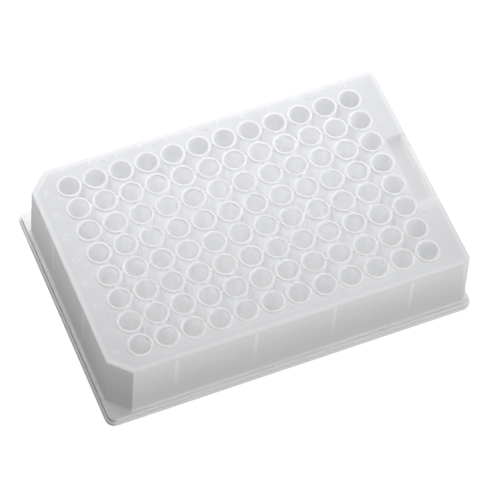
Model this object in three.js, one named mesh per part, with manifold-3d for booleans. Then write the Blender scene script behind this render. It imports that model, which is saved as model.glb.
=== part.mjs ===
// A 96 well storage plate, moulded in one piece of natural polypropylene.
// Millimetres, +Z up. The plate stands on z = 0 with its middle on the Z axis.
// Column 1 is at -X, column 12 at +X, row A at +Y and row H at -Y.

import * as THREE from 'three';
import { mergeGeometries, mergeVertices } from 'three/addons/utils/BufferGeometryUtils.js';
import Module from 'manifold-3d';

// Footprint and heights. The footprint, corner radius and pitch are those of the plate standard.
const plateLength = 127.76;
const plateWidth = 85.48;
const footCornerRadius = 3.2;
const footCornerSteps = 3;
const plateHeight = 26.3;
const rimRise = 0.4;
const deckTop = plateHeight - rimRise;
const deckThickness = 1.2;
const deckEdgeEase = 0.4;

// Skirt wall. It leans out a little towards the foot, as the mould needs.
const skirtHalfLength = 61.65;
const skirtHalfWidth = 40.35;
const skirtLeanLength = 0.2;
const skirtLeanWidth = 0.45;
const wallThickness = 1.3;
const keyCut = 6.6;
const plainCornerRadius = 2.6;
const plainCornerSteps = 3;
const smallCutLength = 3.4;
const smallCutWidth = 2.0;
const smallCutFoot = 1.1;

// Foot flange: a lip at the bench and a second, narrower step above it.
const lipHeight = 1.4;
const stepInset = 0.8;
const stepRise = 0.15;
const flangeHeight = 2.8;
const flangeWall = 1.3;

// Wells, and the webs that tie their tubes together.
const columnCount = 12;
const rowCount = 8;
const wellPitch = 9;
const tubeRadius = 4.17;
const webThickness = 0.75;
const mouthRadius = 3.35;
const boreFootRadius = 3.15;
const boreSides = 10;
const coneTop = 7;
const boreConeTop = 7.5;
const boreTip = 4.2;
const tubeTip = 2.4;

// Ribs from the skirt to the outer tubes, in these columns and rows.
const ribColumns = [2, 5, 8, 11];
const ribRows = [3, 6];
const ribThickness = 0.8;
const ribFoot = 3;

// Sunk panel in the deck beside column 12.
const panelInnerX = 54.5;
const panelOuterX = 59.9;
const panelHalfWidth = 13.3;
const panelDepth = 3.5;
const panelWall = 1.1;

// Bodies that fuse overlap by this much, and cuts run past the surface by as much again.
const overlap = 0.5;

const wasm = await Module();
wasm.setup();

// Plan points of the tubes sit on a fine binary grid, so that faces which meet do so exactly.
const onGrid = (value) => Math.round(value * 256) / 256;
const halfWeb = onGrid(webThickness / 2);
const tubeFlat = onGrid(Math.sqrt(tubeRadius ** 2 - halfWeb ** 2));
const tubeDiagonal = onGrid(tubeRadius * Math.SQRT1_2);
const halfPitch = onGrid(wellPitch / 2);

const columnX = (column) => (2 * column - (columnCount + 1)) * halfPitch;
const rowY = (row) => (rowCount + 1 - 2 * row) * halfPitch;
const columns = Array.from({ length: columnCount }, (_, i) => i + 1);
const rows = Array.from({ length: rowCount }, (_, i) => i + 1);
const wells = columns.flatMap((column) => rows.map((row) => [columnX(column), rowY(row)]));

// One solid from closed geometries that don't touch each other.
function solid(...geometries) {
  const bare = geometries.map((geometry) => {
    const copy = geometry.index ? geometry.toNonIndexed() : geometry.clone();
    copy.deleteAttribute('normal');
    copy.deleteAttribute('uv');
    return copy;
  });
  const merged = mergeVertices(mergeGeometries(bare), 1e-5);
  const corners = [];
  for (let i = 0; i < merged.index.count; i += 3) {
    const [a, b, c] = [0, 1, 2].map((k) => merged.index.getX(i + k));
    if (a !== b && b !== c && c !== a) corners.push(a, b, c);
  }
  return new wasm.Manifold(new wasm.Mesh({
    numProp: 3,
    vertProperties: new Float32Array(merged.attributes.position.array),
    triVerts: new Uint32Array(corners),
  }));
}

// A closed body through outlines at rising heights. All of its outlines have the same point count.
function stack(levels) {
  const [first] = levels[0].slice(1);
  const body = new THREE.ExtrudeGeometry(new THREE.Shape(first), {
    depth: levels.length - 1,
    steps: levels.length - 1,
    bevelEnabled: false,
  });
  const place = body.attributes.position;
  for (let i = 0; i < place.count; i += 1) {
    const here = new THREE.Vector2(place.getX(i), place.getY(i));
    const index = first.findIndex((point) => point.distanceTo(here) < 1e-4);
    const [height, outline] = levels[Math.round(place.getZ(i))];
    place.setXYZ(i, outline[index].x, outline[index].y, height);
  }
  return body;
}

const prism = (outline, bottom, top) => stack([[bottom, outline], [top, outline]]);

function block(x0, x1, y0, y1, z0, z1) {
  const box = new THREE.BoxGeometry(x1 - x0, y1 - y0, z1 - z0);
  return box.translate((x0 + x1) / 2, (y0 + y1) / 2, (z0 + z1) / 2);
}

// A convex outline moved inwards by a distance, side by side.
function inset(outline, distance) {
  const sides = outline.map((point, i) => {
    const along = outline[(i + 1) % outline.length].clone().sub(point).normalize();
    const inward = new THREE.Vector2(-along.y, along.x);
    return { start: point.clone().addScaledVector(inward, distance), along };
  });
  return sides.map((side, i) => {
    const before = sides[(i + sides.length - 1) % sides.length];
    const gap = side.start.clone().sub(before.start);
    const reach = gap.cross(side.along) / before.along.cross(side.along);
    return before.start.clone().addScaledVector(before.along, reach);
  });
}

function roundedRectangle(halfLength, halfWidth, radius) {
  const outline = [];
  [[1, 1], [-1, 1], [-1, -1], [1, -1]].forEach(([sx, sy], quarter) => {
    for (let i = 0; i <= footCornerSteps; i += 1) {
      const angle = (quarter + i / footCornerSteps) * (Math.PI / 2);
      outline.push(new THREE.Vector2(
        sx * (halfLength - radius) + radius * Math.cos(angle),
        sy * (halfWidth - radius) + radius * Math.sin(angle),
      ));
    }
  });
  return outline;
}

// Plan of the skirt, anticlockwise from corner A12: rounded there, cut at the other three corners.
function skirtPlan(halfLength, halfWidth, cutLength, cutWidth) {
  const outline = [];
  for (let i = 0; i <= plainCornerSteps; i += 1) {
    const angle = (i / plainCornerSteps) * (Math.PI / 2);
    outline.push(new THREE.Vector2(
      halfLength - plainCornerRadius * (1 - Math.cos(angle)),
      halfWidth - plainCornerRadius * (1 - Math.sin(angle)),
    ));
  }
  outline.push(new THREE.Vector2(-halfLength + keyCut, halfWidth));
  outline.push(new THREE.Vector2(-halfLength, halfWidth - keyCut));
  outline.push(new THREE.Vector2(-halfLength, -halfWidth + keyCut));
  outline.push(new THREE.Vector2(-halfLength + keyCut, -halfWidth));
  outline.push(new THREE.Vector2(halfLength - cutLength, -halfWidth));
  outline.push(new THREE.Vector2(halfLength, -halfWidth + cutWidth));
  return outline;
}

// Twelve sided plan with a flat towards each neighbour: a tube, or the pocket between four tubes.
function ringPlan(flat, diagonal, half, centreX, centreY) {
  const outline = [];
  for (let quarter = 0; quarter < 4; quarter += 1) {
    [[flat, half], [diagonal, diagonal], [half, flat]].forEach(([x, y]) => {
      const [u, v] = [[x, y], [-y, x], [-x, -y], [y, -x]][quarter];
      outline.push(new THREE.Vector2(centreX + u, centreY + v));
    });
  }
  return outline;
}

const tubePlan = ([x, y]) => ringPlan(tubeFlat, tubeDiagonal, halfWeb, x, y);

// Outline around the whole array of tubes, anticlockwise from well H1.
function arrayPlan() {
  const outline = [];
  const [left, right] = [columnX(1), columnX(columnCount)];
  const [top, bottom] = [rowY(1), rowY(rowCount)];
  const across = columns.map(columnX);
  const up = rows.map(rowY).reverse();
  const sides = [
    across.map((x) => [x, bottom]),
    up.map((y) => [right, y]),
    [...across].reverse().map((x) => [x, top]),
    [...up].reverse().map((y) => [left, y]),
  ];
  sides.forEach((centres, side) => {
    centres.forEach((centre, i) => {
      const plan = tubePlan(centre);
      const quarters = [[2, 3], [3, 0], [0, 1], [1, 2]][side];
      quarters.forEach((quarter, k) => {
        if (i === 0 && k === 0) return;
        outline.push(...plan.slice(quarter * 3, quarter * 3 + 3));
      });
    });
  });
  return outline;
}

// Skirt, deck and flange, hollow and open below.
const skirtTop = skirtPlan(skirtHalfLength, skirtHalfWidth, smallCutLength, smallCutWidth);
const skirtFoot = skirtPlan(
  skirtHalfLength + skirtLeanLength,
  skirtHalfWidth + skirtLeanWidth,
  smallCutFoot,
  smallCutFoot,
);
const skirt = stack([
  [lipHeight, skirtFoot],
  [deckTop - deckEdgeEase, skirtTop],
  [deckTop, inset(skirtTop, deckEdgeEase)],
]);
const hollow = stack([
  [-overlap, inset(skirtFoot, wallThickness)],
  [deckTop - deckThickness, inset(skirtTop, wallThickness)],
]);
const lipPlan = roundedRectangle(plateLength / 2, plateWidth / 2, footCornerRadius);
const stepPlan = inset(lipPlan, stepInset);
const flange = stack([
  [0, lipPlan],
  [lipHeight, lipPlan],
  [lipHeight + stepRise, stepPlan],
  [flangeHeight, stepPlan],
]);
const flangeHollow = prism(inset(lipPlan, flangeWall), -overlap, flangeHeight - flangeWall);

let plate = solid(flange)
  .add(solid(skirt))
  .subtract(solid(hollow))
  .subtract(solid(flangeHollow));

// The array of tubes below the deck, and the slab that becomes the raised rims above it.
const deckMiddle = deckTop - deckThickness / 2;
plate = plate
  .add(solid(prism(arrayPlan(), coneTop, deckMiddle - 0.1)))
  .add(solid(prism(arrayPlan(), deckMiddle + 0.1, plateHeight)));

// Ribs, each from the wall of an outer tube into the skirt.
const ribTop = deckMiddle;
const halfRib = ribThickness / 2;
const ribStart = (tubeRadius + mouthRadius) / 2;
const ribs = [];
ribColumns.map(columnX).forEach((x) => {
  const near = rowY(1) + ribStart;
  const far = skirtHalfWidth - wallThickness / 2;
  ribs.push(block(x - halfRib, x + halfRib, near, far, ribFoot, ribTop));
  ribs.push(block(x - halfRib, x + halfRib, -far, -near, ribFoot, ribTop));
});
ribRows.map(rowY).forEach((y) => {
  const near = columnX(columnCount) + ribStart;
  const far = skirtHalfLength - wallThickness / 2;
  ribs.push(block(near, far, y - halfRib, y + halfRib, ribFoot, ribTop));
  ribs.push(block(-far, -near, y - halfRib, y + halfRib, ribFoot, ribTop));
});
plate = plate.add(solid(...ribs));

// The sunk panel is a shallow tub that hangs from the deck.
const panelFloor = deckTop - panelDepth;
const panelTub = block(
  panelInnerX - panelWall,
  skirtHalfLength - wallThickness / 2,
  -panelHalfWidth - panelWall,
  panelHalfWidth + panelWall,
  panelFloor - deckThickness,
  deckMiddle,
);
const panelCut = block(
  panelInnerX,
  panelOuterX,
  -panelHalfWidth,
  panelHalfWidth,
  panelFloor,
  plateHeight,
);
plate = plate.add(solid(panelTub)).subtract(solid(panelCut));

// Open pockets between each four tubes leave the tubes and the thin webs.
const pockets = [];
columns.slice(1).forEach((column) => {
  rows.slice(1).forEach((row) => {
    const outline = ringPlan(
      halfPitch - halfWeb,
      halfPitch - tubeDiagonal,
      halfPitch - tubeFlat,
      columnX(column) - halfPitch,
      rowY(row) + halfPitch,
    );
    pockets.push(prism(outline, -overlap, plateHeight + overlap));
  });
});
plate = plate.subtract(solid(...pockets));

// The webs stop at the deck, so that each rim stands clear of the next.
const webCuts = [];
wells.forEach(([x, y]) => {
  const [from, to] = [tubeFlat, 2 * halfPitch - tubeFlat];
  const top = plateHeight + overlap;
  if (x < columnX(columnCount)) webCuts.push(block(x + from, x + to, y - 1, y + 1, deckTop, top));
  if (y < rowY(1)) webCuts.push(block(x - 1, x + 1, y + from, y + to, deckTop, top));
});
plate = plate.subtract(solid(...webCuts));

// Cone ended tubes below the webs, then the tapered bores with their cone floors.
function tubeCone([x, y]) {
  const plan = tubePlan([0, 0]);
  const profile = [new THREE.Vector2(0, tubeTip), new THREE.Vector2(tubeRadius, coneTop)];
  const cone = new THREE.LatheGeometry([...profile, new THREE.Vector2(0, coneTop)], plan.length);
  const place = cone.attributes.position;
  for (let i = 0; i < place.count; i += 1) {
    const corner = plan[Math.floor(i / 3) % plan.length];
    const onRing = i % 3 === 1;
    place.setXYZ(i, onRing ? corner.x : 0, onRing ? corner.y : 0, place.getY(i));
  }
  return cone.translate(x, y, 0);
}

function bore([x, y]) {
  const slope = (mouthRadius - boreFootRadius) / (plateHeight - boreConeTop);
  const profile = [
    new THREE.Vector2(0, boreTip),
    new THREE.Vector2(boreFootRadius, boreConeTop),
    new THREE.Vector2(mouthRadius + slope * overlap, plateHeight + overlap),
    new THREE.Vector2(0, plateHeight + overlap),
  ];
  return new THREE.LatheGeometry(profile, boreSides).rotateX(Math.PI / 2).translate(x, y, 0);
}

plate = plate
  .add(solid(...wells.map(tubeCone)))
  .subtract(solid(...wells.map(bore)));

const moulded = plate.getMesh();
const geometry = new THREE.BufferGeometry();
geometry.setAttribute('position', new THREE.BufferAttribute(moulded.vertProperties, 3));
geometry.setIndex(new THREE.BufferAttribute(moulded.triVerts, 1));
const shaded = geometry.toNonIndexed();
shaded.computeVertexNormals();

const polypropylene = new THREE.MeshStandardMaterial({ color: 0xe2e5e8, roughness: 0.4 });
const wellPlate = new THREE.Mesh(shaded, polypropylene);
wellPlate.name = 'well_plate';

const group = new THREE.Group();
group.name = 'well_plate_96';
group.add(wellPlate);

export default group;
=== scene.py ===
import math

import bmesh
import bpy
from mathutils import Matrix, Vector


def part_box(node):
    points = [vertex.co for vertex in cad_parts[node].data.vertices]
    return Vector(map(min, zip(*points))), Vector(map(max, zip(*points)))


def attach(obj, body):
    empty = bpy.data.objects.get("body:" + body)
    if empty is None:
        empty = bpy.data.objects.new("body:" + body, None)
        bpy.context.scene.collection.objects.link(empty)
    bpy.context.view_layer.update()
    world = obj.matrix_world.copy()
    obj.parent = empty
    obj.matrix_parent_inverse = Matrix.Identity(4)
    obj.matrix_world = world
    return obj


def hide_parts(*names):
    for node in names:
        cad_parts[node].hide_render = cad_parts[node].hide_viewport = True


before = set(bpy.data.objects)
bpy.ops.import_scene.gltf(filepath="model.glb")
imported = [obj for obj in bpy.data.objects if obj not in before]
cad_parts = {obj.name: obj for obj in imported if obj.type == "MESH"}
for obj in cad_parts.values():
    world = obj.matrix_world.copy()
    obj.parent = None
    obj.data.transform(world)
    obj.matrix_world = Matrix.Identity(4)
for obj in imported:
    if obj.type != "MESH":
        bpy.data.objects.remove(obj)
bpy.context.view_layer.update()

mm = 0.001
nodeName = "well_plate"
plateLow, plateHigh = (Vector(corner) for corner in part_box(nodeName))
plateSize = plateHigh - plateLow

# Heights and walls of the moulding, in millimetres as a mould drawing gives them.
plate = {
    "rimRise": 0.4,
    "deckThickness": 1.2,
    "deckEdgeRadius": 0.45,
    "deckEdgeSteps": 5,
    "wallThickness": 1.3,
    "footCornerRadius": 3.2,
    "underEdgeRadius": 0.6,
    "underEdgeSteps": 4,
    "creaseAngle": 34,
}
rimTop = plateHigh.z / mm
deckTop = rimTop - plate["rimRise"]
deckUnder = deckTop - plate["deckThickness"]
overrun = 1  # how far a cutter passes the face that it opens


def srgb(hexColour):
    # Turns a written sRGB colour into the linear one that the shaders use.
    parts = [int(hexColour[i:i + 2], 16) / 255 for i in (0, 2, 4)]
    linear = [c / 12.92 if c <= 0.04045 else ((c + 0.055) / 1.055) ** 2.4 for c in parts]
    return (*linear, 1.0)


def addNode(tree, kind, settings=None, links=None):
    # Adds one node: its settings by attribute, its inputs by name from a value or a socket.
    node = tree.nodes.new(kind)
    for name, value in (settings or {}).items():
        setattr(node, name, value)
    for name, value in (links or {}).items():
        if isinstance(value, bpy.types.NodeSocket):
            tree.links.new(value, node.inputs[name])
        else:
            node.inputs[name].default_value = value
    return node


def newObject(name, mesh):
    thing = bpy.data.objects.new(name, mesh)
    bpy.context.scene.collection.objects.link(thing)
    return thing


def meshFrom(name, build):
    # Runs a bmesh builder in millimetres and keeps the result in metres.
    bm = bmesh.new()
    build(bm)
    bmesh.ops.scale(bm, vec=(mm, mm, mm), verts=bm.verts)
    bmesh.ops.recalc_face_normals(bm, faces=bm.faces)
    mesh = bpy.data.meshes.new(name)
    bm.to_mesh(mesh)
    bm.free()
    return mesh


def addLoft(bm, levels):
    # A closed body through outlines of equal point counts, from the lowest level to the highest.
    rings = [[bm.verts.new((x, y, z)) for x, y in outline] for z, outline in levels]
    count = len(rings[0])
    bm.faces.new(list(reversed(rings[0])))
    for lower, upper in zip(rings, rings[1:]):
        for i in range(count):
            k = (i + 1) % count
            bm.faces.new((lower[i], lower[k], upper[k], upper[i]))
    bm.faces.new(rings[-1])


def addLathe(bm, profile, segments, centre=(0, 0)):
    # A body of revolution. Profile points on the axis become a single pole.
    rings = []
    for radius, height in profile:
        if radius == 0:
            rings.append([bm.verts.new((*centre, height))] * segments)
            continue
        angles = [2 * math.pi * i / segments for i in range(segments)]
        x, y = centre
        rings.append([
            bm.verts.new((x + radius * math.cos(a), y + radius * math.sin(a), height))
            for a in angles
        ])
    for lower, upper in zip(rings, rings[1:]):
        for i in range(segments):
            k = (i + 1) % segments
            corners = []
            for vert in (lower[i], lower[k], upper[k], upper[i]):
                if vert not in corners:
                    corners.append(vert)
            bm.faces.new(corners)


def addBox(bm, low, high):
    centre = [(a + b) / 2 for a, b in zip(low, high)]
    sizes = [b - a for a, b in zip(low, high)]
    place = Matrix.Translation(centre) @ Matrix.Diagonal((*sizes, 1))
    bmesh.ops.create_cube(bm, size=1, matrix=place)


def roundCorners(corners, radii, steps):
    # Rounds each corner of a convex anticlockwise outline with an arc of steps + 1 points.
    outline = []
    for i, corner in enumerate(corners):
        before = (corner - corners[i - 1]).normalized()
        after = (corners[(i + 1) % len(corners)] - corner).normalized()
        turn = before.angle_signed(after)
        reach = radii[i] * math.tan(abs(turn) / 2)
        start = corner - before * reach
        centre = start + Vector((-before.y, before.x)) * radii[i]
        for k in range(steps + 1):
            angle = abs(turn) * k / steps
            spoke = Vector((before.y, -before.x)) * radii[i]
            spoke.rotate(Matrix.Rotation(angle, 2))
            outline.append(centre + spoke)
    return outline


def insetCorners(corners, distance):
    moved = []
    for i, corner in enumerate(corners):
        before = (corner - corners[i - 1]).normalized()
        after = (corners[(i + 1) % len(corners)] - corner).normalized()
        inwardBefore = Vector((-before.y, before.x))
        inwardAfter = Vector((-after.y, after.x))
        bisector = inwardBefore + inwardAfter
        moved.append(corner + bisector * (distance / (1 + inwardBefore.dot(inwardAfter))))
    return moved


def finishSolid(name, mesh, cutters=(), joined=()):
    # One solid with the cutters taken away and the joined solids fused on.
    thing = newObject(name, mesh)
    helpers = []
    for operation, solids in (("UNION", joined), ("DIFFERENCE", cutters)):
        for solid in solids:
            helper = newObject(f"{name}Helper", solid)
            helpers.append(helper)
            step = thing.modifiers.new(operation.lower(), "BOOLEAN")
            step.operation = operation
            step.solver = "MANIFOLD"
            step.object = helper
    graph = bpy.context.evaluated_depsgraph_get()
    result = bpy.data.meshes.new_from_object(thing.evaluated_get(graph), depsgraph=graph)
    for extra in (thing, *helpers):
        bpy.data.objects.remove(extra)
    return result


# The skirt is a box with two large key cuts at column 1, a round corner at A12
# and a small cut at H12.
skirt = {
    "halfLength": 61.65,
    "halfWidth": 40.35,
    "leanLength": 0.2,
    "leanWidth": 0.45,
    "keyCut": 6.6,
    "roundCorner": 2.6,
    "smallCutTop": (3.4, 2.0),
    "smallCutFoot": (1.1, 1.1),
    "cutEdgeRadius": 0.7,
    "leastRadius": 0.15,
    "footFillet": 0.5,
    "filletSteps": 4,
    "arcSteps": 6,
}
flange = {
    "lipHeight": 1.4,
    "stepInset": 0.8,
    "stepLift": 0.02,
    "height": 2.8,
    "wall": 1.3,
    "edgeRadius": 0.22,
    "edgeSteps": 3,
    "leastRadius": 0.3,
    "cornerSteps": 10,
}


def skirtOutline(height, inset):
    # The plan of the skirt at a height: it leans out a little towards the foot.
    drop = 1 - (height - flange["lipHeight"]) / (deckTop - flange["lipHeight"])
    halfLength = skirt["halfLength"] + skirt["leanLength"] * drop
    halfWidth = skirt["halfWidth"] + skirt["leanWidth"] * drop
    cutX, cutY = (
        top + (foot - top) * drop
        for top, foot in zip(skirt["smallCutTop"], skirt["smallCutFoot"])
    )
    key = skirt["keyCut"]
    corners = [
        Vector((halfLength, halfWidth)),
        Vector((-halfLength + key, halfWidth)),
        Vector((-halfLength, halfWidth - key)),
        Vector((-halfLength, -halfWidth + key)),
        Vector((-halfLength + key, -halfWidth)),
        Vector((halfLength - cutX, -halfWidth)),
        Vector((halfLength, -halfWidth + cutY)),
    ]
    radii = [skirt["roundCorner"]] + [skirt["cutEdgeRadius"]] * (len(corners) - 1)
    radii = [max(radius - inset, skirt["leastRadius"]) for radius in radii]
    return roundCorners(insetCorners(corners, inset), radii, skirt["arcSteps"])


def lipOutline(inset):
    x, y = plateSize.x / mm / 2 - inset, plateSize.y / mm / 2 - inset
    corners = [Vector((x, y)), Vector((-x, y)), Vector((-x, -y)), Vector((x, -y))]
    radius = max(plate["footCornerRadius"] - inset, flange["leastRadius"])
    return roundCorners(corners, [radius] * 4, flange["cornerSteps"])


def quarterArc(radius, steps):
    # Pairs of how far in and how far down from the top of a rounded edge, going up.
    angles = [math.pi / 2 * i / steps for i in range(steps + 1)]
    return [(radius * (1 - math.cos(a)), radius * (1 - math.sin(a))) for a in angles]


def makeSkirtSolid():
    levels = [(flange["lipHeight"], skirtOutline(flange["lipHeight"], 0))]
    for inward, down in quarterArc(skirt["footFillet"], skirt["filletSteps"]):
        height = flange["height"] + inward
        levels.append((height, skirtOutline(height, -down)))
    for inward, down in quarterArc(plate["deckEdgeRadius"], plate["deckEdgeSteps"]):
        levels.append((deckTop - down, skirtOutline(deckTop - down, inward)))
    return meshFrom("skirtSolid", lambda bm: addLoft(bm, levels))


def makeFlangeSolid():
    # Two steps with rounded edges: the lip, and the narrower one that the skirt stands on.
    lip, inset = flange["lipHeight"], flange["stepInset"]
    arc = quarterArc(flange["edgeRadius"], flange["edgeSteps"])
    levels = [(down, lipOutline(inward)) for inward, down in reversed(arc)]
    levels += [(lip - down, lipOutline(inward)) for inward, down in arc]
    levels.append((lip + flange["stepLift"], lipOutline(inset)))
    levels += [(flange["height"] - down, lipOutline(inset + inward)) for inward, down in arc]
    return meshFrom("flangeSolid", lambda bm: addLoft(bm, levels))


def makeHollows():
    # The open underside: inside the skirt up to the deck, and the wider space in the flange.
    wall = plate["wallThickness"]
    inner = [(-overrun, skirtOutline(flange["lipHeight"], wall))]
    for inward, down in quarterArc(plate["underEdgeRadius"], plate["underEdgeSteps"]):
        inner.append((deckUnder - down, skirtOutline(deckUnder - down, wall + inward)))
    outline = lipOutline(flange["wall"])
    lower = [(-overrun, outline), (flange["height"] - flange["wall"], outline)]
    return [
        meshFrom("skirtHollow", lambda bm: addLoft(bm, inner)),
        meshFrom("flangeHollow", lambda bm: addLoft(bm, lower)),
    ]


# The wells follow the microplate grid. A tube's bore tapers and ends in a cone.
wells = {
    "columns": 12,
    "rows": 8,
    "pitch": 9.0,
    "tubeRadius": 4.17,
    "mouthRadius": 3.35,
    "boreFootRadius": 3.15,
    "coneTop": 7.0,
    "shoulderInset": 0.15,
    "shoulderDrop": 0.25,
    "shoulderRise": 0.1,
    "boreConeTop": 7.5,
    "boreShoulderInset": 0.25,
    "boreShoulderDrop": 0.2,
    "boreShoulderRise": 0.3,
    "tubeTip": 2.4,
    "tubeTipRadius": 0.55,
    "boreTip": 4.2,
    "boreTipRadius": 0.5,
    "tipRise": 0.12,
    "rimRadius": 0.18,
    "rimSteps": 4,
    "webThickness": 0.75,
    "webDrop": 0.08,
    "segments": 36,
}
columnX = [(i - (wells["columns"] - 1) / 2) * wells["pitch"] for i in range(wells["columns"])]
rowY = [((wells["rows"] - 1) / 2 - i) * wells["pitch"] for i in range(wells["rows"])]
midWall = (wells["tubeRadius"] + wells["mouthRadius"]) / 2


def makeTubeMesh():
    # One tube with its bore: outer cone and wall going up, rounded rim, bore and its cone down.
    tube, mouth, bore = wells["tubeRadius"], wells["mouthRadius"], wells["boreFootRadius"]
    tip, boreTip = wells["tubeTip"], wells["boreTip"]
    arc = quarterArc(wells["rimRadius"], wells["rimSteps"])
    profile = [
        (0, tip),
        (wells["tubeTipRadius"], tip + wells["tipRise"]),
        (tube - wells["shoulderInset"], wells["coneTop"] - wells["shoulderDrop"]),
        (tube, wells["coneTop"] + wells["shoulderRise"]),
    ]
    profile += [(tube - inward, rimTop - down) for inward, down in arc]
    profile += [(mouth + inward, rimTop - down) for inward, down in reversed(arc)]
    profile += [
        (bore, wells["boreConeTop"] + wells["boreShoulderRise"]),
        (bore - wells["boreShoulderInset"], wells["boreConeTop"] - wells["boreShoulderDrop"]),
        (wells["boreTipRadius"], boreTip + wells["tipRise"]),
        (0, boreTip),
    ]
    return meshFrom("tube", lambda bm: addLathe(bm, profile, wells["segments"]))


def makeTubeSeats():
    # Clears the deck and panel walls out of the tubes, so that the bores stay open.
    low, high = -overrun, rimTop + overrun
    profile = [(0, low), (midWall, low), (midWall, high), (0, high)]

    def build(bm):
        for x in columnX:
            for y in rowY:
                addLathe(bm, profile, wells["segments"], (x, y))
    return meshFrom("tubeSeats", build)


ribs = {"columns": (2, 5, 8, 11), "rows": (3, 6), "thickness": 0.8, "foot": 3.0}


def makeRibs():
    # Ribs from the skirt to every third outer tube.
    half = ribs["thickness"] / 2
    top = (deckTop + deckUnder) / 2

    def build(bm):
        for column in ribs["columns"]:
            x = columnX[column - 1]
            near, far = rowY[0] + midWall, skirt["halfWidth"] - plate["wallThickness"] / 2
            addBox(bm, (x - half, near, ribs["foot"]), (x + half, far, top))
            addBox(bm, (x - half, -far, ribs["foot"]), (x + half, -near, top))
        for row in ribs["rows"]:
            y = rowY[row - 1]
            near, far = columnX[-1] + midWall, skirt["halfLength"] - plate["wallThickness"] / 2
            addBox(bm, (near, y - half, ribs["foot"]), (far, y + half, top))
            addBox(bm, (-far, y - half, ribs["foot"]), (-near, y + half, top))
    return meshFrom("ribs", build)


# The sunk panel beside column 12, with a tub of thin walls under it.
panel = {
    "innerX": 54.5,
    "outerX": 59.9,
    "halfWidth": 13.3,
    "depth": 3.5,
    "wall": 1.1,
    "corner": 0.5,
    "cornerSteps": 4,
}
panelFloor = deckTop - panel["depth"]


def makePanelTub():
    low = (panel["innerX"] - panel["wall"], -panel["halfWidth"] - panel["wall"])
    high = (skirt["halfLength"] - plate["wallThickness"] / 2, panel["halfWidth"] + panel["wall"])
    foot = panelFloor - plate["deckThickness"]
    top = (deckTop + deckUnder) / 2
    return meshFrom("panelTub", lambda bm: addBox(bm, (*low, foot), (*high, top)))


def makePanelCut():
    x0, x1, y = panel["innerX"], panel["outerX"], panel["halfWidth"]
    corners = [Vector((x1, y)), Vector((x0, y)), Vector((x0, -y)), Vector((x1, -y))]
    outline = roundCorners(corners, [panel["corner"]] * 4, panel["cornerSteps"])
    levels = [(panelFloor, outline), (rimTop + overrun, outline)]
    return meshFrom("panelCut", lambda bm: addLoft(bm, levels))


# Round witness marks of the ejector pins and the gate, sunk a little into the deck margin.
marks = {
    "radius": 1.0,
    "gateRadius": 0.6,
    "taper": 0.1,
    "depth": 0.2,
    "segments": 20,
    "longSideX": (-36, -18, 0, 18, 36),
    "longSideY": 36.2,
    "shortSides": ((-54.6, 18.2), (-54.6, -17.8), (54.4, 18.1), (54.4, -17.9)),
    "gate": (-54.6, -3.8),
}


def makeMarks():
    places = [(x, side * marks["longSideY"]) for x in marks["longSideX"] for side in (-1, 1)]
    places += list(marks["shortSides"])
    low, high = deckTop - marks["depth"], deckTop + overrun

    def sink(bm, place, radius):
        profile = [(0, low), (radius - marks["taper"], low), (radius, high), (0, high)]
        addLathe(bm, profile, marks["segments"], place)

    def build(bm):
        for place in places:
            sink(bm, place, marks["radius"])
        sink(bm, marks["gate"], marks["gateRadius"])
    return meshFrom("marks", build)


# Raised row letters beside column 1 and column numbers behind row A.
letters = {
    "size": 3.2,
    "rise": 0.12,
    "rowX": -57.2,
    "columnY": 37.8,
    "curveSteps": 3,
    "weldDistance": 0.002,
}


def makeLetters():
    places = [(chr(ord("A") + i), letters["rowX"], y) for i, y in enumerate(rowY)]
    places += [(str(i + 1), x, letters["columnY"]) for i, x in enumerate(columnX)]
    bm = bmesh.new()
    for text, x, y in places:
        curve = bpy.data.curves.new("letter", "FONT")
        curve.body = text
        curve.size = letters["size"] * mm
        curve.extrude = letters["rise"] * mm
        curve.resolution_u = letters["curveSteps"]
        curve.align_x = curve.align_y = "CENTER"
        writing = newObject("letter", curve)
        graph = bpy.context.evaluated_depsgraph_get()
        mesh = bpy.data.meshes.new_from_object(writing.evaluated_get(graph))
        mesh.transform(Matrix.Translation((x * mm, y * mm, deckTop * mm)))
        bm.from_mesh(mesh)
        bpy.data.objects.remove(writing)
        bpy.data.curves.remove(curve)
        bpy.data.meshes.remove(mesh)
    bmesh.ops.remove_doubles(bm, verts=bm.verts, dist=letters["weldDistance"] * mm)
    bmesh.ops.recalc_face_normals(bm, faces=bm.faces)
    mesh = bpy.data.meshes.new("letters")
    bm.to_mesh(mesh)
    bm.free()
    return mesh


def makeWindow():
    # The deck stops at the outer wells' centre lines. Inside, only tubes and webs remain.
    x, y = columnX[-1], rowY[0]
    low, high = (-x, -y, deckUnder - overrun), (x, y, rimTop + overrun)
    return meshFrom("window", lambda bm: addBox(bm, low, high))


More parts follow.
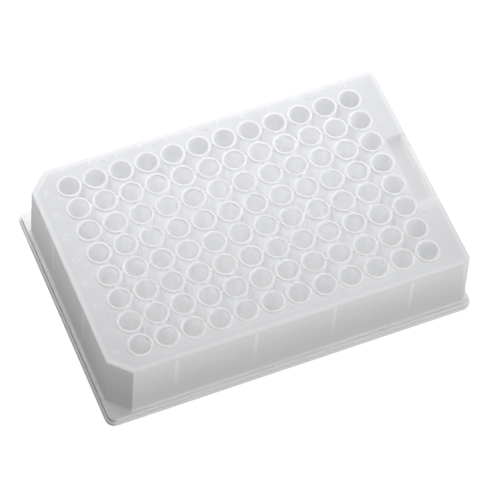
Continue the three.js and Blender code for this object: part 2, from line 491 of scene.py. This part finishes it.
def makeArrayTree():
    # Sets a tube on each point of the grid and a web in each gap, and fuses them to the shell.
    tree = bpy.data.node_groups.new("wellArray", "GeometryNodeTree")
    sockets = (
        ("Shell", "NodeSocketGeometry"),
        ("Tube", "NodeSocketObject"),
        ("Columns", "NodeSocketInt"),
        ("Rows", "NodeSocketInt"),
        ("Pitch", "NodeSocketFloat"),
        ("Web Length", "NodeSocketFloat"),
        ("Web Thickness", "NodeSocketFloat"),
        ("Web Foot", "NodeSocketFloat"),
        ("Web Top", "NodeSocketFloat"),
        ("Material", "NodeSocketMaterial"),
    )
    for name, kind in sockets:
        tree.interface.new_socket(name, in_out="INPUT", socket_type=kind)
    tree.interface.new_socket("Plate", in_out="OUTPUT", socket_type="NodeSocketGeometry")
    given = addNode(tree, "NodeGroupInput").outputs

    def calculate(operation, first, second):
        inputs = {0: first, 1: second}
        return addNode(tree, "ShaderNodeMath", {"operation": operation}, inputs).outputs[0]

    def grid(columns, rows, instance):
        spanX = calculate("MULTIPLY", calculate("SUBTRACT", columns, 1.0), given["Pitch"])
        spanY = calculate("MULTIPLY", calculate("SUBTRACT", rows, 1.0), given["Pitch"])
        points = addNode(tree, "GeometryNodeMeshGrid", None, {
            "Size X": spanX, "Size Y": spanY, "Vertices X": columns, "Vertices Y": rows,
        })
        placed = addNode(tree, "GeometryNodeInstanceOnPoints", None, {
            "Points": points.outputs["Mesh"], "Instance": instance,
        })
        return addNode(tree, "GeometryNodeRealizeInstances", None, {
            "Geometry": placed.outputs["Instances"],
        }).outputs["Geometry"]

    webHeight = calculate("SUBTRACT", given["Web Top"], given["Web Foot"])
    webMiddle = calculate("DIVIDE", calculate("ADD", given["Web Top"], given["Web Foot"]), 2.0)
    lift = addNode(tree, "ShaderNodeCombineXYZ", None, {"Z": webMiddle}).outputs[0]

    def web(alongX):
        length, thickness = given["Web Length"], given["Web Thickness"]
        size = addNode(tree, "ShaderNodeCombineXYZ", None, {
            "X": length if alongX else thickness,
            "Y": thickness if alongX else length,
            "Z": webHeight,
        })
        box = addNode(tree, "GeometryNodeMeshCube", None, {"Size": size.outputs[0]})
        return addNode(tree, "GeometryNodeTransform", None, {
            "Geometry": box.outputs["Mesh"], "Translation": lift,
        }).outputs["Geometry"]

    tube = addNode(tree, "GeometryNodeObjectInfo", None, {"Object": given["Tube"]})
    fewerColumns = calculate("SUBTRACT", given["Columns"], 1.0)
    fewerRows = calculate("SUBTRACT", given["Rows"], 1.0)
    parts = [
        given["Shell"],
        grid(given["Columns"], given["Rows"], tube.outputs["Geometry"]),
        grid(fewerColumns, given["Rows"], web(True)),
        grid(given["Columns"], fewerRows, web(False)),
    ]
    fused = addNode(tree, "GeometryNodeMeshBoolean", {"operation": "UNION", "solver": "MANIFOLD"})
    for part in parts:
        tree.links.new(part, fused.inputs["Mesh 2"])
    real = addNode(tree, "GeometryNodeRealizeInstances", None, {"Geometry": fused.outputs["Mesh"]})
    painted = addNode(tree, "GeometryNodeSetMaterial", None, {
        "Geometry": real.outputs["Geometry"], "Material": given["Material"],
    })
    addNode(tree, "NodeGroupOutput", None, {"Plate": painted.outputs["Geometry"]})
    return tree


def setInputs(modifier, values):
    for item in modifier.node_group.interface.items_tree:
        if item.item_type == "SOCKET" and item.in_out == "INPUT" and item.name in values:
            modifier[item.identifier] = values[item.name]


def smoothByAngle(mesh, degrees):
    mesh.polygons.foreach_set("use_smooth", [True] * len(mesh.polygons))
    mesh.set_sharp_from_angle(angle=math.radians(degrees))


def makePlate(material):
    shell = finishSolid("shell", makeFlangeSolid(), makeHollows(), [makeSkirtSolid()])
    print("shell: skirt, deck and flange")
    cuts = [makePanelCut(), makeWindow(), makeTubeSeats(), makeMarks()]
    shell = finishSolid("shell", shell, cuts, [makeRibs(), makePanelTub()])
    shell = finishSolid("shell", shell, joined=[makeLetters()])
    print("shell: ribs, panel, window, marks and letters")
    tube = newObject("tube", makeTubeMesh())
    body = newObject("wellPlate", shell)
    array = body.modifiers.new("wells", "NODES")
    array.node_group = makeArrayTree()
    setInputs(array, {
        "Tube": tube,
        "Columns": wells["columns"],
        "Rows": wells["rows"],
        "Pitch": wells["pitch"] * mm,
        "Web Length": (wells["pitch"] - 2 * midWall) * mm,
        "Web Thickness": wells["webThickness"] * mm,
        "Web Foot": wells["coneTop"] * mm,
        "Web Top": (deckTop - wells["webDrop"]) * mm,
        "Material": material,
    })
    graph = bpy.context.evaluated_depsgraph_get()
    mesh = bpy.data.meshes.new_from_object(body.evaluated_get(graph), depsgraph=graph)
    body.modifiers.remove(array)
    body.data = mesh
    mesh.name = "wellPlate"
    bpy.data.objects.remove(tube)
    smoothByAngle(mesh, plate["creaseAngle"])
    weighted = body.modifiers.new("flatFacesStayFlat", "WEIGHTED_NORMAL")
    weighted.keep_sharp = True
    mesh.calc_loop_triangles()
    print("plate:", len(mesh.polygons), "faces,", len(mesh.loop_triangles), "triangles")
    return body


# The look of the plastic. A cloud is the share of light that a wall scatters back, lengths and
# bands of height are in millimetres, and facing runs from 0 on a wall to 1 on a level face.
milk = {
    "colour": "fefefe",
    # The next two greys are painted shade: one for the skirt's sideways faces, one for the flange
    # steps that face column 1.
    "wallShadeColour": "dedede",
    "stepShadeColour": "787878",
    "throughColour": "fefefe",
    "roughness": 0.32,
    "ior": 1.49,
    "sheenShare": 0.15,
    "clearShare": 0.2,
    "tubeCloud": 0.2,
    "topCloud": 0.12,
    "topReach": 5.0,
    "rimCloud": 0.6,
    "rimBand": (0.02, 0.15),
    "rimFacing": (-0.4, 0.5),
    "skirtCloud": 0.75,
    "skirtBlend": 0.8,
    "backCloud": 0.6,
    "backBlend": 0.5,
    "deckEdgeCloud": 0.68,
    "deckBand": (-0.8, -0.3),
    "deckFacing": (0.5, 0.95),
    "flangeCloud": 0.68,
    "flangeBand": (-0.2, 0.6),
    "paintedStepShade": (0.3, -0.9),
    "panelWallCloud": 0.25,
    "panelCloud": -0.16,
    "panelBand": (-0.5, -0.1),
    "panelFloorReach": 0.3,
    "mottle": 0.3,
    "flowLength": 7.0,
    "flowDetail": 2.0,
    "waveStrength": 0.15,
    "waveHeight": 0.1,
    # Where the painted wall shade falls: sideways faces, darker towards the foot, left out over
    # the ribs near the top.
    "wallFacing": (0.1, 0.6),
    "wallFoot": 4.0,
    "topShade": 0.45,
    "ribBlur": 0.9,
    "ribCore": 0.2,
}


def makePolypropylene():
    # Natural polypropylene, injection moulded without pigment. Thin walls glow with the light
    # behind them, edges and webs show milky, and the polished mould leaves a satin gloss.
    material = bpy.data.materials.new("polypropyleneNaturalMoulded")
    material.use_nodes = True
    tree = material.node_tree
    tree.nodes.clear()

    def calculate(operation, *values):
        inputs = dict(enumerate(values))
        return addNode(tree, "ShaderNodeMath", {"operation": operation}, inputs).outputs[0]

    def ramp(value, low, high):
        # Goes smoothly from 0 at the first value to 1 at the second.
        return addNode(tree, "ShaderNodeMapRange", {"interpolation_type": "SMOOTHSTEP"}, {
            "Value": value, "From Min": low, "From Max": high,
        }).outputs[0]

    def band(base, name):
        # Rises between two heights that a pair of values gives above or below the base.
        low, high = milk[name]
        return ramp(height, (base + low) * mm, (base + high) * mm)

    def product(first, *others):
        for other in others:
            first = calculate("MULTIPLY", first, other)
        return first

    def rest(value):
        return calculate("SUBTRACT", 1.0, value)

    where = addNode(tree, "ShaderNodeTexCoord").outputs["Object"]
    axes = addNode(tree, "ShaderNodeSeparateXYZ", None, {0: where}).outputs
    height = axes["Z"]
    along = calculate("ABSOLUTE", axes["X"])
    across = calculate("ABSOLUTE", axes["Y"])
    shape = addNode(tree, "ShaderNodeNewGeometry").outputs
    normal = addNode(tree, "ShaderNodeSeparateXYZ", None, {0: shape["Normal"]}).outputs
    facing = normal["Z"]
    # The melt's slow waviness, which softens the highlights and mottles the deck.
    flow = addNode(tree, "ShaderNodeTexNoise", None, {
        "Vector": where, "Scale": 1 / (milk["flowLength"] * mm), "Detail": milk["flowDetail"],
    }).outputs["Fac"]
    wave = addNode(tree, "ShaderNodeBump", None, {
        "Height": flow, "Strength": milk["waveStrength"], "Distance": milk["waveHeight"] * mm,
    }).outputs["Normal"]

    # The skirt begins where a point passes the inner face of an end, a side or a key cut.
    endReach = skirt["halfLength"] - plate["wallThickness"]
    sideReach = skirt["halfWidth"] - plate["wallThickness"]
    cutReach = endReach + sideReach - skirt["keyCut"]
    pastEnd = calculate("SUBTRACT", along, endReach * mm)
    pastSide = calculate("SUBTRACT", across, sideReach * mm)
    pastCut = calculate("SUBTRACT", calculate("SUBTRACT", across, axes["X"]), cutReach * mm)
    beyond = calculate("MAXIMUM", pastEnd, calculate("MAXIMUM", pastSide, pastCut))
    inSkirt = ramp(beyond, -milk["skirtBlend"] * mm, 0.0)
    nearDeck = band(deckTop, "deckBand")
    deckFace = product(nearDeck, ramp(facing, *milk["deckFacing"]))
    aboveFlange = band(flange["height"], "flangeBand")

    # The tubes and the deck around them scatter more towards the top.
    nearTop = ramp(height, (deckTop - milk["topReach"]) * mm, deckTop * mm)
    mottle = product(deckFace, calculate("SUBTRACT", flow, 0.5))
    tubes = calculate("MULTIPLY_ADD", nearTop, milk["topCloud"], milk["tubeCloud"])
    tubes = calculate("MULTIPLY_ADD", mottle, milk["mottle"], tubes)
    extra = milk["skirtCloud"] - milk["flangeCloud"]
    walls = calculate("MULTIPLY_ADD", aboveFlange, extra, milk["flangeCloud"])
    # Light comes in through the back wall, and through the thin wall beside the sunk panel.
    onBack = ramp(axes["Y"], (sideReach - milk["backBlend"]) * mm, sideReach * mm)
    onRight = ramp(axes["X"], (endReach - milk["skirtBlend"]) * mm, endReach * mm)
    inPanel = product(
        calculate("LESS_THAN", across, panel["halfWidth"] * mm),
        band(panelFloor, "panelBand"),
    )
    for mask, name in (
        (deckFace, "deckEdgeCloud"),
        (product(onBack, rest(nearDeck)), "backCloud"),
        (product(inPanel, onRight), "panelWallCloud"),
    ):
        walls = calculate("MULTIPLY_ADD", mask, milk[name] - milk["skirtCloud"], walls)
    # The sunk floor is a little clearer than the deck around it.
    sunkFloor = product(
        inPanel,
        calculate("LESS_THAN", height, (panelFloor + milk["panelFloorReach"]) * mm),
        calculate("GREATER_THAN", axes["X"], panel["innerX"] * mm),
    )
    tubes = calculate("MULTIPLY_ADD", sunkFloor, milk["panelCloud"], tubes)
    cloud = calculate("MULTIPLY_ADD", inSkirt, calculate("SUBTRACT", walls, tubes), tubes)
    # Rims and webs, seen from above, look down the whole height of a wall.
    inArray = product(
        calculate("LESS_THAN", along, columnX[-1] * mm),
        calculate("LESS_THAN", across, rowY[0] * mm),
    )
    edges = calculate("MAXIMUM", band(deckTop, "rimBand"), product(inArray, nearDeck))
    edges = product(ramp(facing, *milk["rimFacing"]), edges)
    cloud = calculate("MULTIPLY_ADD", edges, milk["rimCloud"], cloud)

    # Painted shade: the skirt's sideways faces are painted grey, darker towards the foot. Near the
    # top the grey is left out over the ribs, which paints pale lines in place of light coming
    # through the ribs.
    upWall = ramp(height, milk["wallFoot"] * mm, deckTop * mm)
    step = (ribs["columns"][1] - ribs["columns"][0]) * wells["pitch"] * mm
    half = step / 2
    fold = calculate("ABSOLUTE", calculate("SUBTRACT", along, step))
    offX = calculate("ABSOLUTE", calculate("SUBTRACT", fold, half))
    offY = calculate("ABSOLUTE", calculate("SUBTRACT", across, half))
    onRib = ramp(calculate("MINIMUM", offX, offY), milk["ribBlur"] * mm, milk["ribCore"] * mm)
    sideways = rest(ramp(facing, *milk["wallFacing"]))
    paintedWallShade = calculate("MULTIPLY_ADD", upWall, milk["topShade"] - 1, 1.0)
    paintedWallShade = product(paintedWallShade, inSkirt, aboveFlange, sideways, rest(product(onRib, upWall)))
    # Painted shade: the flange's two step faces are painted dark grey where they face column 1,
    # and faintly where they face the front.
    paintedStepShade = product(rest(aboveFlange), sideways, ramp(normal["X"], *milk["paintedStepShade"]))
    shade = srgb(milk["colour"])
    for mask, name in ((paintedWallShade, "wallShadeColour"), (paintedStepShade, "stepShadeColour")):
        shade = addNode(tree, "ShaderNodeMix", {"data_type": "RGBA"}, {
            0: mask, 6: shade, 7: srgb(milk[name]),
        }).outputs[2]

    surface = addNode(tree, "ShaderNodeBsdfPrincipled", None, {
        "Base Color": shade, "Roughness": milk["roughness"], "Specular IOR Level": 0.0,
    })
    throughColour = srgb(milk["throughColour"])
    through = addNode(tree, "ShaderNodeBsdfTranslucent", None, {"Color": throughColour})
    clear = addNode(tree, "ShaderNodeBsdfTransparent", None, {"Color": throughColour})
    body = addNode(tree, "ShaderNodeMixShader", None, {
        0: milk["clearShare"], 1: through.outputs[0], 2: clear.outputs[0],
    })
    cloudy = addNode(tree, "ShaderNodeMixShader", None, {
        0: cloud, 1: body.outputs[0], 2: surface.outputs[0],
    })
    # Only the outer faces shine. A shine on the inner faces would trap the light in the walls.
    gloss = addNode(tree, "ShaderNodeBsdfGlossy", None, {
        "Color": (1, 1, 1, 1), "Roughness": milk["roughness"], "Normal": wave,
    })
    edge = addNode(tree, "ShaderNodeFresnel", None, {"IOR": milk["ior"], "Normal": wave})
    sheen = product(edge.outputs[0], product(milk["sheenShare"], rest(shape["Backfacing"])))
    satin = addNode(tree, "ShaderNodeMixShader", None, {
        0: sheen, 1: cloudy.outputs[0], 2: gloss.outputs[0],
    })
    addNode(tree, "ShaderNodeOutputMaterial", None, {"Surface": satin.outputs[0]})
    return material


# The bench: white, with a soft shadow under the plate. Sizes are in metres.
bench = {"size": 3.0, "gap": 0.0002, "colour": "c4c4c5", "lift": 0.82}


def makeBench():
    mesh = meshFrom("bench", lambda bm: bmesh.ops.create_grid(
        bm, x_segments=1, y_segments=1, size=bench["size"] / 2 / mm))
    floor = newObject("bench", mesh)
    floor.location.z = plateLow.z - bench["gap"]
    material = bpy.data.materials.new("paperSweepWhite")
    material.use_nodes = True
    tree = material.node_tree
    tree.nodes.clear()
    path = addNode(tree, "ShaderNodeLightPath").outputs
    straight = addNode(tree, "ShaderNodeMath", {"operation": "MAXIMUM"}, {
        0: path["Is Camera Ray"], 1: path["Is Glossy Ray"],
    })
    seen = addNode(tree, "ShaderNodeMath", {"operation": "MAXIMUM"}, {
        0: straight.outputs[0], 1: path["Is Transmission Ray"],
    })
    paper = addNode(tree, "ShaderNodeBsdfDiffuse", None, {"Color": srgb(bench["colour"])})
    strength = addNode(tree, "ShaderNodeMath", {"operation": "MULTIPLY"}, {
        0: seen.outputs[0], 1: bench["lift"],
    })
    glow = addNode(tree, "ShaderNodeEmission", None, {"Strength": strength.outputs[0]})
    both = addNode(tree, "ShaderNodeAddShader", None, {0: paper.outputs[0], 1: glow.outputs[0]})
    addNode(tree, "ShaderNodeOutputMaterial", None, {"Surface": both.outputs[0]})
    mesh.materials.append(material)


# A wide scrim overhead and to the back right, in a room that darkens towards the front left.
studio = {
    "roomBright": 0.62,
    "roomDark": 0.0,
    "darkReach": 0.1,
    "brightSide": (0.5, 0.55, 0.67),
}
# Each lamp: its name, place, size, power and colour. All aim at the middle of the plate.
lampAim = (0, 0, 0.013)
lampPlan = (
    ("overheadScrim", (1.1, 0.9, 1.7), (4.0, 3.0), 3.94, "fafbff"),
    ("backSoftbox", (0.03, 0.15, 0.18), (0.3, 0.14), 0.43, "f8faff"),
    ("frontCard", (0.27, -0.38, 0.08), (0.2, 0.1), 0.82, "ffffff"),
    ("cornerCard", (-0.11, -0.23, 0.05), (0.05, 0.05), 0.085, "ffffff"),
    ("leftCard", (-0.16, 0.12, 0.05), (0.06, 0.06), 0.055, "ffffff"),
)


def makeWorld():
    world = bpy.data.worlds.new("studio")
    bpy.context.scene.world = world
    world.use_nodes = True
    tree = world.node_tree
    tree.nodes.clear()
    path = addNode(tree, "ShaderNodeLightPath").outputs
    direction = addNode(tree, "ShaderNodeTexCoord").outputs["Generated"]
    side = addNode(tree, "ShaderNodeVectorMath", {"operation": "DOT_PRODUCT"}, {
        0: direction, 1: studio["brightSide"],
    })
    room = addNode(tree, "ShaderNodeMapRange", None, {
        "Value": side.outputs["Value"],
        "From Min": studio["darkReach"],
        "From Max": 1.0,
        "To Min": studio["roomDark"],
        "To Max": studio["roomBright"],
    })
    strength = addNode(tree, "ShaderNodeMath", {"operation": "MAXIMUM"}, {
        0: path["Is Camera Ray"], 1: room.outputs[0],
    })
    light = addNode(tree, "ShaderNodeBackground", None, {
        "Color": (1, 1, 1, 1), "Strength": strength.outputs[0],
    })
    addNode(tree, "ShaderNodeOutputWorld", None, {"Surface": light.outputs[0]})


def makeLamps():
    for name, place, size, power, colour in lampPlan:
        data = bpy.data.lights.new(name, "AREA")
        data.shape = "RECTANGLE"
        data.size, data.size_y = size
        data.energy = power
        data.color = srgb(colour)[:3]
        lamp = newObject(name, data)
        lamp.location = place
        direction = Vector(lampAim) - Vector(place)
        lamp.rotation_euler = direction.to_track_quat("-Z", "Y").to_euler()


# The camera looks down over corner H1 with a long lens and a slight roll.
camera = {
    "azimuth": 27.64,
    "elevation": 57.91,
    "roll": 6.10,
    "distance": 899.7,
    "aim": (-3.94, -11.35),
    "lens": 202.75,
    "sensor": 36.0,
    "clip": (0.01, 20),
}


def makeCamera():
    azimuth, elevation, roll = (math.radians(camera[k]) for k in ("azimuth", "elevation", "roll"))
    forward = Vector((
        math.sin(azimuth) * math.cos(elevation),
        math.cos(azimuth) * math.cos(elevation),
        -math.sin(elevation),
    ))
    level = Vector((math.cos(azimuth), -math.sin(azimuth), 0))
    above = level.cross(forward)
    right = level * math.cos(roll) + above * math.sin(roll)
    up = above * math.cos(roll) - level * math.sin(roll)
    aim = Vector((*camera["aim"], rimTop)) * mm
    data = bpy.data.cameras.new("camera")
    data.lens = camera["lens"]
    data.sensor_width = camera["sensor"]
    data.clip_start, data.clip_end = camera["clip"]
    eye = newObject("camera", data)
    turn = Matrix((right, up, -forward)).transposed()
    place = aim - forward * camera["distance"] * mm
    eye.matrix_world = Matrix.Translation(place) @ turn.to_4x4()
    bpy.context.scene.camera = eye


makeCamera()
makeWorld()
makeLamps()
makeBench()
print("stage: camera, lamps and bench")

polypropylene = makePolypropylene()
wellPlate = makePlate(polypropylene)
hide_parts(nodeName)
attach(wellPlate, "root")

# Light bounces many times between milky walls, so few bounces would leave the wells dark.
lightPath = {"bounces": 32, "clearBounces": 64}
bpy.context.scene.view_settings.view_transform = "Standard"
cycles = bpy.context.scene.cycles
cycles.max_bounces = cycles.diffuse_bounces = lightPath["bounces"]
cycles.transmission_bounces = lightPath["bounces"]
cycles.transparent_max_bounces = lightPath["clearBounces"]
